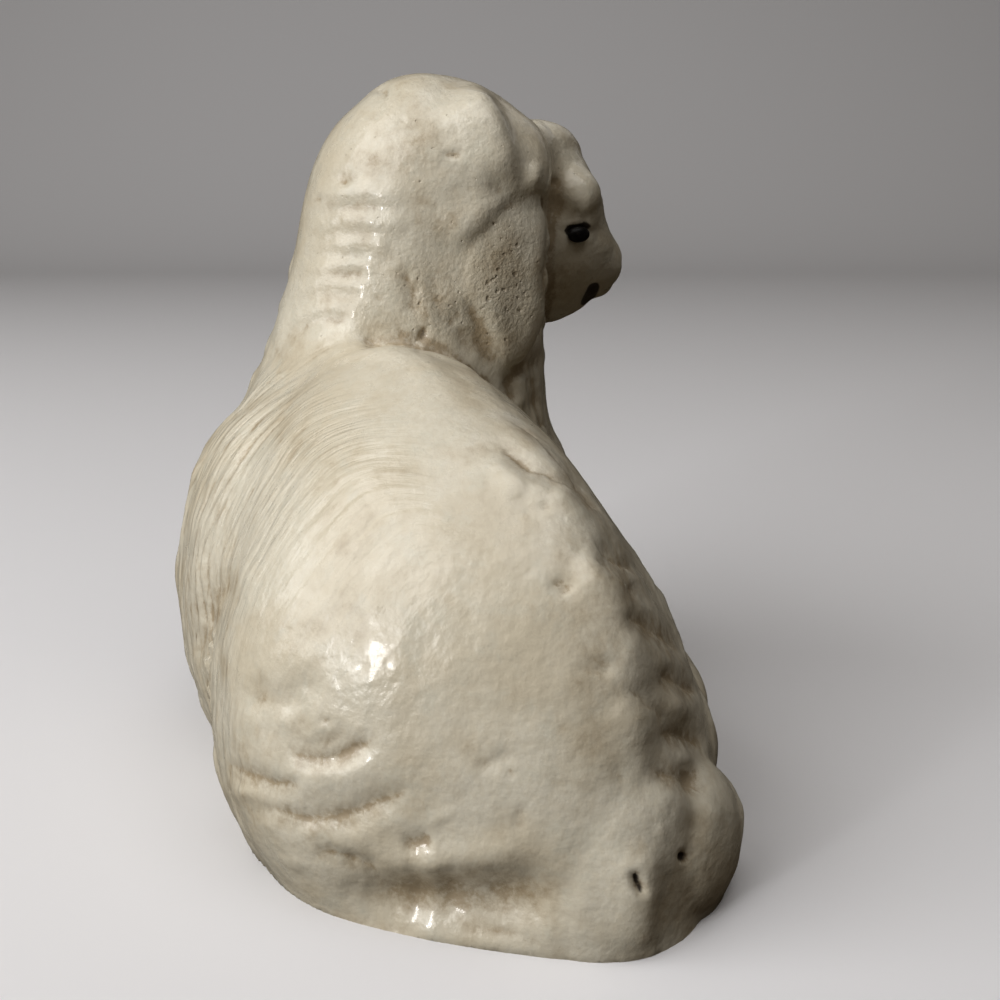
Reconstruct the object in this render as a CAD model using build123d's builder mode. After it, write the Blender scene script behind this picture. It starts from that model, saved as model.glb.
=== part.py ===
"""A resting sheep figurine of glazed earthenware.

The sheep lies with its legs folded and looks to its right. Two hollow castings, the body and the
head, are luted together at the neck. The ears and the tail are solid and luted on over pegs. The
eyes are spots of enamel in shallow sockets.

Frame: millimetres, +X from the tail to the breast, +Y to the sheep's left, +Z up. The origin is
on the flat underside.
"""

import os
from math import copysign, cos, pi, radians, sin

from build123d import *

# Overall sizes of the body casting.
body_length = 84.0
body_width = 55.0
back_height = 50.0
foot_depth = 14.0

# Walls of the castings and the hole that the slip is poured through.
wall = 3.6
floor_wall = 4.0
pour_hole_radius = 6.0
pour_hole_back = 14.0

# Neck and crown. The neck's middle lies that far back from the front end of the body, and the
# joint between the castings slants down from the nape to the throat. The bore in the neck starts
# where the column has left the flank, so that the flank keeps its wall.
bore_foot = 32.0
neck_set_back = 22.0
neck_centre_y = -1.2
neck_radius = 16.4
neck_foot = 22.0
neck_joint_height = 47.0
neck_joint_slant = 13.0
crown_height = 78.6
spigot_depth = 3.0
spigot_wall = 2.0
luting_gap = 0.15

# The face, along the head's own forward direction, which is turned from +X about +Z.
head_turn = -82.0
face_length = 26.9
face_half_width = 9.8
face_floor_height = 48.6
face_depth = 24.0
tuft_length = 15.0
tuft_width = 14.0
tuft_height = 9.0
brow_length = 9.0
brow_width = 8.4
brow_height = 8.2

# Ears, which hang that far below the face's floor, and the pegs that hold them and the tail.
ear_length = 20.8
ear_width = 12.5
ear_thickness = 5.0
ear_overhang = 4.2
ear_turn = 8.0
seat_gap = 0.15
peg_radius = 1.3
peg_depth = 2.2
peg_root = 1.6
peg_gap = 0.1

# Eyes.
eye_length = 2.9
eye_height = 1.9
eye_depth = 1.5
eye_level = 60.1
eye_gap = 0.05

# Tail.
tail_length = 19.0
tail_thickness = 12.6
tail_height = 18.0
tail_turn = -55.0

# Haunches, shoulders, rump and breast.
haunch_length = 42.0
haunch_width = 33.0
haunch_height = 46.0
shoulder_length = 52.0
shoulder_width = 28.0
shoulder_height = 50.0
rump_length = 14.0
rump_width = 18.0
rump_height = 34.0
breast_length = 22.0
breast_width = 28.0
breast_height = 32.0

# Folded legs: the bone that lies along the ground, the knee in front and the cloven hoof.
shank_length = 26.0
shank_width = 7.4
shank_height = 9.0
knee_length = 13.0
knee_width = 11.0
knee_height = 14.0
toe_length = 9.4
toe_width = 3.6
toe_height = 6.6
toe_spread = 2.8

ring_points = 14
overrun = 1.0
half_length = body_length / 2
half_width = body_width / 2
neck_centre_x = half_length - neck_set_back
ear_foot_height = face_floor_height - ear_overhang

# Fleece rings along the body, as shares: x of the half length, then left edge, right edge and
# spine of the half width, and top and waist of the back height.
fleece_ring_shares = (
    (-0.975, -0.02, -0.32, -0.18, 0.26, 0.06),
    (-0.930, 0.14, -0.39, -0.18, 0.42, 0.09),
    (-0.870, 0.31, -0.49, -0.17, 0.57, 0.13),
    (-0.780, 0.55, -0.61, -0.13, 0.69, 0.17),
    (-0.640, 0.82, -0.73, -0.08, 0.80, 0.21),
    (-0.450, 0.99, -0.81, -0.01, 0.90, 0.24),
    (-0.230, 1.02, -0.86, 0.07, 0.96, 0.25),
    (0.000, 1.00, -0.87, 0.16, 1.00, 0.27),
    (0.240, 0.97, -0.83, 0.17, 0.96, 0.30),
    (0.480, 0.93, -0.77, 0.14, 0.89, 0.33),
    (0.700, 0.78, -0.68, 0.08, 0.83, 0.35),
    (0.860, 0.56, -0.52, 0.03, 0.68, 0.35),
    (0.950, 0.34, -0.32, 0.00, 0.54, 0.33),
)
# How lean each flank is: 1 is a true oval, more is flatter between the spine and the waist.
left_lean_share = 1.0
right_lean_share = 1.5

# Neck and crown rings, as shares: height from the neck's foot to the crown, then front and side
# reach from the neck's middle, and the middle's shift, all of the neck radius.
neck_ring_shares = (
    (0.00, 1.10, 1.25, 0.00, 0.16),
    (0.20, 1.02, 1.22, 0.00, 0.16),
    (0.35, 0.94, 1.12, 0.00, 0.17),
    (0.43, 0.91, 1.05, -0.01, 0.11),
    (0.56, 0.87, 0.97, -0.02, 0.02),
    (0.65, 0.86, 0.94, -0.02, -0.04),
    (0.74, 0.86, 0.90, -0.02, -0.07),
    (0.85, 0.79, 0.80, -0.02, -0.12),
    (0.925, 0.62, 0.62, -0.02, -0.14),
    (0.957, 0.49, 0.49, -0.02, -0.14),
    (0.990, 0.25, 0.25, -0.02, -0.14),
)

# Face rings along the head's own forward direction, as shares: forward of the face length,
# half width of the face, bottom and top of the face depth.
face_ring_shares = (
    (0.35, 0.96, 0.00, 1.04),
    (0.50, 1.00, 0.00, 1.04),
    (0.64, 0.98, 0.00, 1.00),
    (0.72, 0.92, 0.02, 0.94),
    (0.79, 0.82, 0.05, 0.83),
    (0.85, 0.70, 0.08, 0.66),
    (0.90, 0.60, 0.11, 0.54),
    (0.95, 0.50, 0.15, 0.45),
    (0.985, 0.34, 0.20, 0.38),
)

# Ear rings from the tip up, as shares: height of the ear length, then front and back edge of half
# the ear width, and thickness of the ear's.
ear_ring_shares = (
    (0.03, 0.30, -0.24, 0.34),
    (0.12, 0.60, -0.52, 0.60),
    (0.28, 0.84, -0.78, 0.84),
    (0.46, 0.96, -0.98, 0.98),
    (0.64, 1.00, -1.00, 1.00),
    (0.80, 0.98, -0.78, 0.90),
    (0.92, 0.84, -0.36, 0.64),
    (0.98, 0.60, 0.06, 0.36),
)

# Middles of the body's swellings, as shares of the half length, half width and back height.
haunch_place_shares = ((-0.21, 0.44, 0.25), (-0.21, -0.24, 0.14))
shoulder_place_shares = ((0.29, 0.58, 0.36), (0.30, -0.27, 0.28))
rump_place_share = (-0.846, -0.20, 0.06)
breast_place_share = (0.76, 0.0, 0.30)
tail_place_share = (-0.80, -0.44, 0.11)
tail_seat_share = 0.20
knee_place_shares = ((0.84, 0.32, 0.10), (0.86, -0.24, 0.10))
hind_shank_place_shares = ((-0.20, 0.84, 0.06), (-0.14, -0.79, 0.06))
fore_shank_place_shares = ((0.58, 0.60, 0.06), (0.62, -0.52, 0.06))
toe_forward_share = 0.50

# Places on the head, as shares: forward of the face length, side of the face's half width, and
# height above the face floor of the face depth.
tuft_place_share = (0.52, 0.0, 0.85)
brow_place_share = (0.61, 0.58, 0.67)
eye_place_share = (0.622, 1.01)
ear_place_share = (0.19, 1.34)
ear_peg_share = 0.72


def closed_ring(plane, points):
    """A smooth closed section through points given in the plane's own x and y."""
    with BuildSketch(plane) as ring:
        with BuildLine():
            Spline(*points, periodic=True)
        make_face()
    return ring.sketch


def fleece_ring(shares, grow=0.0):
    """One section of the body, square to +X. A negative growth shrinks it for the cavity."""
    x, left, right, spine, top, waist = shares
    left_reach = (left - spine) * half_width + grow
    right_reach = (spine - right) * half_width + grow
    waist_z = waist * back_height
    top_rise = top * back_height + grow - waist_z
    points = []
    for step in range(ring_points):
        angle = 2 * pi * step / ring_points
        across, up = cos(angle), sin(angle)
        reach = left_reach if across > 0 else right_reach
        rise = top_rise if up > 0 else waist_z + foot_depth
        lean = left_lean_share if across > 0 else right_lean_share
        lean = lean if up > 0 else 1
        y = spine * half_width + reach * copysign(abs(across) ** lean, across)
        points.append((y, waist_z + rise * copysign(abs(up) ** lean, up)))
    return closed_ring(Plane.YZ.offset(x * (half_length + grow)), points)


def neck_ring(shares, grow=0.0):
    """One level section of the neck and crown."""
    height, front, side, shift_x, shift_y = shares
    level = neck_foot + height * (crown_height + grow - neck_foot)
    middle_x = neck_centre_x + shift_x * neck_radius
    middle_y = neck_centre_y + shift_y * neck_radius
    points = []
    for step in range(ring_points):
        angle = 2 * pi * step / ring_points
        across = middle_x + (front * neck_radius + grow) * cos(angle)
        points.append((across, middle_y + (side * neck_radius + grow) * sin(angle)))
    return closed_ring(Plane.XY.offset(level), points)


# The head's own frame: local z is forward along the nose, local x to its left, local y up.
nose_x = cos(radians(head_turn))
nose_y = sin(radians(head_turn))
head_plane = Plane(
    origin=(neck_centre_x, neck_centre_y, 0),
    x_dir=(-nose_y, nose_x, 0),
    z_dir=(nose_x, nose_y, 0),
)
# Local y of the head plane runs up or down with its z_dir, so the heights follow its sign.
head_up = head_plane.y_dir.Z


def head_point(forward, side, height):
    """A point of the head's own frame, in the figure's frame."""
    return (
        neck_centre_x + forward * nose_x - side * nose_y,
        neck_centre_y + forward * nose_y + side * nose_x,
        height,
    )


def face_ring(shares, grow=0.0):
    """One section of the face, square to the nose."""
    forward, breadth, low, high = shares
    low_z = face_floor_height + low * face_depth - grow
    high_z = face_floor_height + high * face_depth + grow
    middle = (low_z + high_z) / 2
    rise = (high_z - low_z) / 2
    reach = breadth * face_half_width + grow
    points = []
    for step in range(ring_points):
        angle = 2 * pi * step / ring_points
        points.append((reach * cos(angle), head_up * (middle + rise * sin(angle))))
    return closed_ring(head_plane.offset(forward * face_length), points)


def ear_ring(shares):
    """One level section of the right ear, with its front edge towards the nose."""
    height, front, back, thickness = shares
    forward, side = ear_place_share
    middle = head_point(forward * face_length, -side * face_half_width, 0)
    along = radians(head_turn + ear_turn)
    points = []
    for step in range(ring_points):
        angle = 2 * pi * step / ring_points
        edge = front if cos(angle) > 0 else -back
        lengthwise = edge * ear_width / 2 * cos(angle)
        outward = thickness * ear_thickness / 2 * sin(angle)
        x = middle[0] + lengthwise * cos(along) + outward * sin(along)
        points.append((x, middle[1] + lengthwise * sin(along) - outward * cos(along)))
    return closed_ring(Plane.XY.offset(ear_foot_height + height * ear_length), points)


def egg(centre, length, width, height, turn=0.0):
    """An ellipsoid with its length along +X before it is turned about +Z."""
    ball = Sphere(radius=0.5, mode=Mode.PRIVATE)
    shape = scale(ball, by=(length, width, height), mode=Mode.PRIVATE)
    return shape.moved(Location(centre, (0, 0, turn)))


def above(shape, plane):
    """What lies above a plane."""
    return split(shape, bisect_by=plane, keep=Keep.TOP, mode=Mode.PRIVATE)


def below(shape, plane):
    """What lies below a plane."""
    return split(shape, bisect_by=plane, keep=Keep.BOTTOM, mode=Mode.PRIVATE)


def smooth_form(rings):
    """A solid that runs smoothly through closed rings."""
    with BuildPart() as form:
        loft(sections=rings)
    return form.part


def neck_form(grow):
    """The neck and crown as one column."""
    shares = neck_ring_shares if grow >= 0 else neck_ring_shares[:-1]
    return smooth_form([neck_ring(row, grow) for row in shares])


def place(shares):
    """A point of the body, from its shares of the half length, half width and back height."""
    x, y, z = shares
    return (x * half_length, y * half_width, z * back_height)


def head_place(shares, side=1):
    """A point of the face, from its shares of the face length, half width and depth."""
    forward, across, height = shares
    return head_point(
        forward * face_length,
        side * across * face_half_width,
        face_floor_height + height * face_depth,
    )


def hoof(shares):
    """A cloven hoof, as two toes side by side at the front end of a shank."""
    x, y, z = place(shares)
    toes = []
    for side in (-1, 1):
        middle = (x + toe_forward_share * shank_length, y + side * toe_spread / 2, z)
        toes.append(egg(middle, toe_length, toe_width, toe_height))
    return toes


def swelling(shares, length, width, height, grow=0.0):
    """One rounded mass of the body, from the floor up."""
    mass = egg(place(shares), length + 2 * grow, width + 2 * grow, height + 2 * grow)
    return above(mass, Plane.XY)


def swellings():
    """Haunches, shoulders, breast and folded legs."""
    masses = []
    for shares in haunch_place_shares:
        masses.append(swelling(shares, haunch_length, haunch_width, haunch_height))
    for shares in shoulder_place_shares:
        masses.append(swelling(shares, shoulder_length, shoulder_width, shoulder_height))
    masses.append(swelling(breast_place_share, breast_length, breast_width, breast_height))
    for shares in knee_place_shares:
        masses.append(swelling(shares, knee_length, knee_width, knee_height))
    for shares in (*hind_shank_place_shares, *fore_shank_place_shares):
        masses.append(swelling(shares, shank_length, shank_width, shank_height))
    for shares in hind_shank_place_shares:
        masses.extend(above(toe, Plane.XY) for toe in hoof(shares))
    return masses


def joint_level(rise=0.0):
    """The plane of the neck joint, or one that lies above or below it along its slant."""
    slant = radians(neck_joint_slant)
    centre = (neck_centre_x, neck_centre_y, neck_joint_height)
    return Plane(origin=centre, z_dir=(sin(slant), 0, cos(slant))).offset(rise)


def peg(seat, grow=0.0):
    """A round peg from its root outside the seat to its depth in the casting."""
    depth = peg_depth + grow
    with BuildPart(seat.offset(-depth)) as pin:
        Cylinder(peg_radius + grow, depth + peg_root, align=(Align.CENTER, Align.CENTER, Align.MIN))
    return pin.part


def eye_form(side, grow=0.0):
    """The enamel spot of one eye, or the socket that it lies in."""
    forward, across = eye_place_share
    centre = head_point(forward * face_length, side * across * face_half_width, eye_level)
    return egg(centre, eye_length + 2 * grow, eye_depth + 2 * grow, eye_height + 2 * grow, turn=head_turn)


# Forms that the pieces share: the neck and crown column at its skin, at its wall and at the two
# faces of the spigot, and the skins just off which the ears and the tail lie.
neck_column = neck_form(0)
neck_bore = above(neck_form(-wall), Plane.XY.offset(bore_foot))
spigot_skin = neck_form(-wall - luting_gap)
spigot_bore = neck_form(-wall - luting_gap - spigot_wall)
neck_clearance = neck_form(seat_gap)
face = smooth_form([face_ring(row) for row in face_ring_shares])
face_hollow = smooth_form([face_ring(row, -wall) for row in face_ring_shares[:-2]])
fleece = above(smooth_form([fleece_ring(row) for row in fleece_ring_shares]), Plane.XY)
fleece_hollow = smooth_form([fleece_ring(row, -wall) for row in fleece_ring_shares[1:-1]])
fleece_hollow = above(fleece_hollow, Plane.XY.offset(floor_wall))
fleece_clearance = smooth_form([fleece_ring(row, seat_gap) for row in fleece_ring_shares])
rump = swelling(rump_place_share, rump_length, rump_width, rump_height)
rump_clearance = swelling(rump_place_share, rump_length, rump_width, rump_height, seat_gap)
right_haunch_clearance = swelling(
    haunch_place_shares[1], haunch_length, haunch_width, haunch_height, seat_gap
)

# The head's middle plane, and the seats of the pegs, whose z runs out of the casting.
head_middle = Plane(origin=head_plane.origin, z_dir=head_plane.x_dir)
ear_out = radians(head_turn + ear_turn - 90)
ear_forward, ear_side = ear_place_share
right_ear_seat = Plane(
    origin=head_point(
        ear_forward * face_length,
        -ear_side * face_half_width,
        ear_foot_height + ear_peg_share * ear_length,
    ),
    z_dir=(cos(ear_out), sin(ear_out), 0),
)
tail_out = radians(tail_turn - 90)
tail_seat = Plane(origin=place(tail_place_share), z_dir=(cos(tail_out), sin(tail_out), 0))
tail_seat = tail_seat.offset(tail_seat_share * tail_thickness)

# Both ears' pegs and sockets.
right_peg = peg(right_ear_seat)
left_peg = mirror(right_peg, about=head_middle, mode=Mode.PRIVATE)
right_socket = peg(right_ear_seat, peg_gap)
left_socket = mirror(right_socket, about=head_middle, mode=Mode.PRIVATE)

# The body casting, with the hole that the slip is poured through.
with BuildPart() as body:
    add([below(neck_column, joint_level()), fleece, rump, *swellings()])
    add([below(neck_bore, joint_level(overrun)), fleece_hollow], mode=Mode.SUBTRACT)
    with Locations((-pour_hole_back, 0, -overrun)):
        Cylinder(
            pour_hole_radius,
            floor_wall + 2 * overrun,
            align=(Align.CENTER, Align.CENTER, Align.MIN),
            mode=Mode.SUBTRACT,
        )
    add(peg(tail_seat, peg_gap), mode=Mode.SUBTRACT)
body.part.label = "body"

# The head casting. The spigot below it drops into the neck of the body.
tuft = egg(head_place(tuft_place_share), tuft_length, tuft_width, tuft_height, turn=head_turn)
brows = [
    egg(head_place(brow_place_share, side), brow_length, brow_width, brow_height, turn=head_turn)
    for side in (-1, 1)
]
eye_sockets = [eye_form(side, eye_gap) for side in (-1, 1)]
spigot = above(below(spigot_skin, joint_level(overrun)), joint_level(-spigot_depth))
spigot_hollow = above(below(spigot_bore, joint_level(spigot_depth)), joint_level(-spigot_depth - overrun))
with BuildPart() as head:
    add([above(neck_column, joint_level()), face, tuft, *brows, spigot])
    add([above(neck_bore, joint_level(spigot_depth)), face_hollow], mode=Mode.SUBTRACT)
    add(spigot_hollow, mode=Mode.SUBTRACT)
    for recess in (right_socket, left_socket, *eye_sockets):
        add(recess, mode=Mode.SUBTRACT)
head.part.label = "head"

# The ears: one form, and its mirror image, laid against the head and neck.
ear_form = smooth_form([ear_ring(row) for row in ear_ring_shares])
with BuildPart() as right_ear:
    add(ear_form)
    add(neck_clearance, mode=Mode.SUBTRACT)
    add(right_peg)
right_ear.part.label = "right_ear"

with BuildPart() as left_ear:
    add(mirror(ear_form, about=head_middle, mode=Mode.PRIVATE))
    add(neck_clearance, mode=Mode.SUBTRACT)
    add(left_peg)
left_ear.part.label = "left_ear"

# The tail: a lobe laid against the rump.
tail_lobe = egg(place(tail_place_share), tail_length, tail_thickness, tail_height, turn=tail_turn)
with BuildPart() as tail:
    add(above(tail_lobe, Plane.XY))
    add([fleece_clearance, rump_clearance, right_haunch_clearance], mode=Mode.SUBTRACT)
    add(peg(tail_seat))
tail.part.label = "tail"

# The eyes: spots of enamel.
with BuildPart() as right_eye:
    add(eye_form(-1))
right_eye.part.label = "right_eye"

with BuildPart() as left_eye:
    add(eye_form(1))
left_eye.part.label = "left_eye"

os.makedirs("parts", exist_ok=True)
for piece in (body, head, left_ear, right_ear, tail, left_eye, right_eye):
    export_step(piece.part, f"parts/{piece.part.label}.step")
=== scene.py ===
"""Looks of a resting sheep figurine: cream glaze over modelled wool, with a brown wash in the hollows,
darkened further there and in grooves as painted shade.

The solids are joined into one skin, which is smoothed, modelled further and parted again into one
piece for each casting. Forms that the picture shows are placed by points of the picture, through
the camera, and the wool of the other sides follows the same rules. Lengths are millimetres until
a mesh is made.
"""

from math import atan, cos, pi, radians, sin

import bmesh
import bpy
import numpy as np
from mathutils import Matrix, Vector
from mathutils.bvhtree import BVHTree
from mathutils.geometry import delaunay_2d_cdt


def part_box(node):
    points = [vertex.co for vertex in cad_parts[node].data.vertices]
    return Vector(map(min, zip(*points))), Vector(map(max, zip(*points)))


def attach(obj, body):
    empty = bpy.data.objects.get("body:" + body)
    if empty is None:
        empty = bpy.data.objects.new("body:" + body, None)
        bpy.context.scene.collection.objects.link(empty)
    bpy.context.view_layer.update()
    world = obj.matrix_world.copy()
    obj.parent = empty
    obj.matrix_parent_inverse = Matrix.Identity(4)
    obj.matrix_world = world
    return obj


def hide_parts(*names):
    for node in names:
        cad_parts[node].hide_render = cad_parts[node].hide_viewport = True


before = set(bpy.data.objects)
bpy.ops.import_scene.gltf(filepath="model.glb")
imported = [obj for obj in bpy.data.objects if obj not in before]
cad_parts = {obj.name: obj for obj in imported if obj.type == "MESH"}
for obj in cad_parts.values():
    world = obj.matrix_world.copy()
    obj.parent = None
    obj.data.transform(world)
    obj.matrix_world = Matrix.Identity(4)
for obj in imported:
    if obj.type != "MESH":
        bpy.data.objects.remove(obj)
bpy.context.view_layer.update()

MM = 0.001

# The camera. The picture is square and its horizon lies above its middle.
picture_side = 1000
focal_pixels = 1300.0
horizon_row = 131.0
camera_place = (-135.98, 36.09, 72.0)
camera_yaw = -17.0
sensor_width = 36.0
nearest_ahead = 112.0
hand_sway = 1.3
# A point is hidden where something in its cell of the picture, in pixels, lies so much nearer.
hide_cell = 3
hide_depth = 3.5

# Windows of the picture, in pixels: where each starts and is full, and is still full and ends,
# first across and then down.
ear_window = ((432, 448, 498, 512), (190, 205, 315, 335))
forehead_window = ((512, 528, 560, 572), (98, 110, 166, 182))
shoulder_seen_from, shoulder_seen_by = 362, 380
# Middles and reaches, in pixels, of the pitted clay on the ear and beside it on the neck.
ear_pits = ((506, 285), (30, 62))
neck_pits = ((436, 300), (42, 48))

# The skin.
voxel = 0.4
seal = 0.12
smoothing_reach = 1.0
floor_band = 0.3
crown_top = (15.0, 1.0)
crown_rise = 1.1
crown_reach = 6.5
hole_place = (-14.0, 0.0)
hole_radius = 6.0
hole_sides = 72
plug_radius = 7.5
plug_height = 3.8
plug_sides = 48
lining_depth = 2.6
# How far outside a solid's box its part of the skin may lie.
skin_margin = 1.2
# No point sinks below this share of its height, so that no groove reaches the underside.
kept_height_share = 0.7

# Where the skin is evened out before it is modelled. Each pair is where a form starts and is
# full, in millimetres: along the body, up from the floor, beside the spine, under the joint.
shoulder_along = (-14, -8)
shoulder_up = (20, 27)
shoulder_beside = (3, 8)
shoulder_under = (-7, -3)
crown_up = (72.5, 76.0)
crown_rise_up = (70, 76)

# The neck joint, which parts the head from the body.
joint_place = (20.0, -1.2, 47.0)
joint_slant = 13.0

# Wool on the body. Strands lie across the back and run forwards a little as they leave the spine.
spine_line = ((-42, -5), (-27, -2.2), (0, 4.4), (15, 4.6), (40, 0))
wool_axis_height = 10.0
wool_lead = 9.0
strand_pitch = 0.72
strand_turn = 8.0
strand_rise = 60.0
lock_pitch = 2.3
lock_rise = 0.17
tuft_pitch = 6.4
tuft_rise = 0.5
haunch_places = ((-9.0, 13.0, 12.0), (-9.0, -8.0, 8.0))
haunch_fold_pitch = 5.6
haunch_fold_rise = 0.4
roll_pitch = 4.6
roll_rise = 0.3

# Where each kind of wool starts and is full: along the body, up from the floor and under or over
# the neck joint in millimetres, and round the body in degrees from the back.
body_under = (-1.0, 5.0)
wool_up = (1.0, 8.0)
lead_round = (4, 28)
strands_round = (10, 24)
strands_along = (-40, -30)
strands_fuller_along = (-34, -16)
strands_deeper_along = (-24, -6)
strands_fade_along = (27, 34)
locks_fuller_along = (-14, 6)
locks_fuller_round = (16, 36)
tufts_along = (-38, -24)
tufts_round = (22, 45)
haunch_folds_back = (-4, 12)
haunch_folds_round = (35, 60)
rolls_over = (-9, -3)
rolls_under = (-14, -8)

picture_middle = picture_side / 2
camera_pitch = atan((picture_middle - horizon_row) / focal_pixels)


def unit(vector):
    return np.asarray(vector, float) / np.linalg.norm(vector)


def ease(values, low, high):
    """A smooth step from 0 at low to 1 at high."""
    share = np.clip((np.asarray(values, float) - low) / (high - low), 0, 1)
    return share * share * (3 - 2 * share)


def hump(values, middle, reach):
    """A bell of height 1 at the middle."""
    return np.exp(-(((values - middle) / reach) ** 2))


# The camera's own directions, in the figure's frame.
yaw = radians(camera_yaw)
look_ahead = np.array([cos(yaw) * cos(camera_pitch), sin(yaw) * cos(camera_pitch), -sin(camera_pitch)])
look_right = np.array([sin(yaw), -cos(yaw), 0.0])
look_up = np.cross(look_right, look_ahead)
eye_point = np.array(camera_place)


def in_picture(points):
    """Where points fall in the picture, and their distance ahead of the camera."""
    away = points - eye_point
    ahead = away @ look_ahead
    across = picture_middle + focal_pixels * (away @ look_right) / ahead
    down = picture_middle - focal_pixels * (away @ look_up) / ahead
    return np.stack([across, down], 1), ahead


# Smooth noise in three directions, from a fixed seed.
noise_cells = 256
chance = np.random.default_rng(11)
noise_slopes = chance.normal(size=(noise_cells, 3))
noise_slopes /= np.linalg.norm(noise_slopes, axis=1, keepdims=True)
noise_order = np.tile(chance.permutation(noise_cells), 3)


def noise(*parts):
    """Noise of about -1 to 1 at points given as up to three columns."""
    points = np.zeros((len(parts[0]), 3))
    for column, part in enumerate(parts):
        points[:, column] = part
    cell = np.floor(points).astype(int)
    inside = points - cell
    fade = inside**3 * (inside * (inside * 6 - 15) + 10)
    total = np.zeros(len(points))
    for corner in np.ndindex(2, 2, 2):
        spot = (cell + corner) % noise_cells
        key = noise_order[noise_order[noise_order[spot[:, 0]] + spot[:, 1]] + spot[:, 2]]
        slope = ((inside - corner) * noise_slopes[key]).sum(1)
        total += slope * np.where(corner, fade, 1 - fade).prod(1)
    return total * 1.6


def mesh_arrays(mesh):
    """A mesh's corners in millimetres, and its faces, which must all have as many sides."""
    points = np.empty(len(mesh.vertices) * 3, np.float32)
    mesh.vertices.foreach_get("co", points)
    corners = np.empty(len(mesh.loops), np.int32)
    mesh.loops.foreach_get("vertex_index", corners)
    points = points.reshape(-1, 3).astype(float) / MM
    return points, corners.reshape(len(mesh.polygons), -1)


def mesh_normals(mesh):
    normals = np.empty(len(mesh.vertices) * 3, np.float32)
    mesh.vertices.foreach_get("normal", normals)
    return normals.reshape(-1, 3).astype(float)


def plug():
    """A round plug over the pour hole, so that the skin is closed."""
    made = bmesh.new()
    bmesh.ops.create_cone(
        made,
        cap_ends=True,
        cap_tris=True,
        segments=plug_sides,
        radius1=plug_radius,
        radius2=plug_radius,
        depth=plug_height,
    )
    bmesh.ops.triangulate(made, faces=made.faces[:])
    middle = np.array([*hole_place, plug_height / 2])
    points = np.array([corner.co[:] for corner in made.verts]) + middle
    faces = np.array([[corner.index for corner in face.verts] for face in made.faces])
    made.free()
    return points, faces


def joined_skin(names):
    """One closed skin of even squares round the named solids."""
    parts = [plug()]
    for name in names:
        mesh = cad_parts[name].data
        points, faces = mesh_arrays(mesh)
        parts.append((points + seal * mesh_normals(mesh), faces))
    points = np.vstack([part[0] for part in parts])
    starts = np.cumsum([0] + [len(part[0]) for part in parts[:-1]])
    faces = np.vstack([part[1] + start for part, start in zip(parts, starts)])
    raw = bpy.data.meshes.new("raw")
    raw.from_pydata(points * MM, [], faces)
    holder = bpy.data.objects.new("raw", raw)
    bpy.context.scene.collection.objects.link(holder)
    remesh = holder.modifiers.new("remesh", "REMESH")
    remesh.mode = "VOXEL"
    remesh.voxel_size = voxel * MM
    graph = bpy.context.evaluated_depsgraph_get()
    even = bpy.data.meshes.new_from_object(holder.evaluated_get(graph))
    points, quads = mesh_arrays(even)
    edges = np.empty(len(even.edges) * 2, np.int32)
    even.edges.foreach_get("vertices", edges)
    bpy.data.objects.remove(holder)
    bpy.data.meshes.remove(raw)
    bpy.data.meshes.remove(even)
    return points, quads, edges.reshape(-1, 2)


points, quads, edges = joined_skin(("body", "head", "left_ear", "right_ear", "tail"))
point_total = len(points)
neighbours = np.bincount(edges.ravel(), minlength=point_total)


def sum_of_neighbours(column, pairs, count):
    """For each point, the sum of a value over the points that share an edge with it."""
    total = np.bincount(pairs[:, 0], column[pairs[:, 1]], count)
    return total + np.bincount(pairs[:, 1], column[pairs[:, 0]], count)


def blurred(values, rounds, share=0.5):
    """Values evened out over neighbours."""
    values = np.array(values, float)
    columns = values.reshape(point_total, -1)
    for _ in range(rounds):
        for column in columns.T:
            mean = sum_of_neighbours(column, edges, point_total) / neighbours
            column += share * (mean - column)
    return values


def normals_of(points):
    """Each point's outward direction."""
    across = points[quads[:, 2]] - points[quads[:, 0]]
    back = points[quads[:, 3]] - points[quads[:, 1]]
    face_normals = np.cross(across, back)
    total = np.zeros((point_total, 3))
    for corner in range(4):
        for axis in range(3):
            total[:, axis] += np.bincount(quads[:, corner], face_normals[:, axis], point_total)
    return total / np.maximum(np.linalg.norm(total, axis=1, keepdims=True), 1e-9)


def rounds_of(reach):
    """How many rounds of blurring even out a form of this size, in millimetres."""
    return max(1, round(4 * (reach / voxel) ** 2))


# Taubin's pair of steps smooths the steps of the squares without shrinking the form.
sole = points[:, 2] < floor_band
for _ in range(rounds_of(smoothing_reach)):
    points = blurred(points, 1, 0.6)
    points = blurred(points, 1, -0.62)
normals = normals_of(points)
points -= seal * normals


def grounded(points):
    """The same points, with the flat underside kept flat."""
    points[:, 2] = np.maximum(points[:, 2], 0)
    points[sole, 2] = 0
    return points


points = grounded(points)
normals = normals_of(points)


def seen_from_camera(points, normals):
    """Each point's spot in the picture, its distance ahead of the camera, and how squarely it
    faces the camera: 0 where it is turned away or hidden."""
    spots, ahead = in_picture(points)
    facing = ((eye_point - points) * normals).sum(1) / np.linalg.norm(eye_point - points, axis=1)
    cells = picture_side // hide_cell
    across, down = np.clip((spots / hide_cell).astype(int), 1, cells - 1).T
    nearest = np.full((cells + 2, cells + 2), np.inf)
    np.minimum.at(nearest, (down, across), ahead)
    clear = ahead < nearest[down, across] + hide_depth
    return spots, ahead, np.where(clear, ease(facing, 0.0, 0.22), 0)


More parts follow.
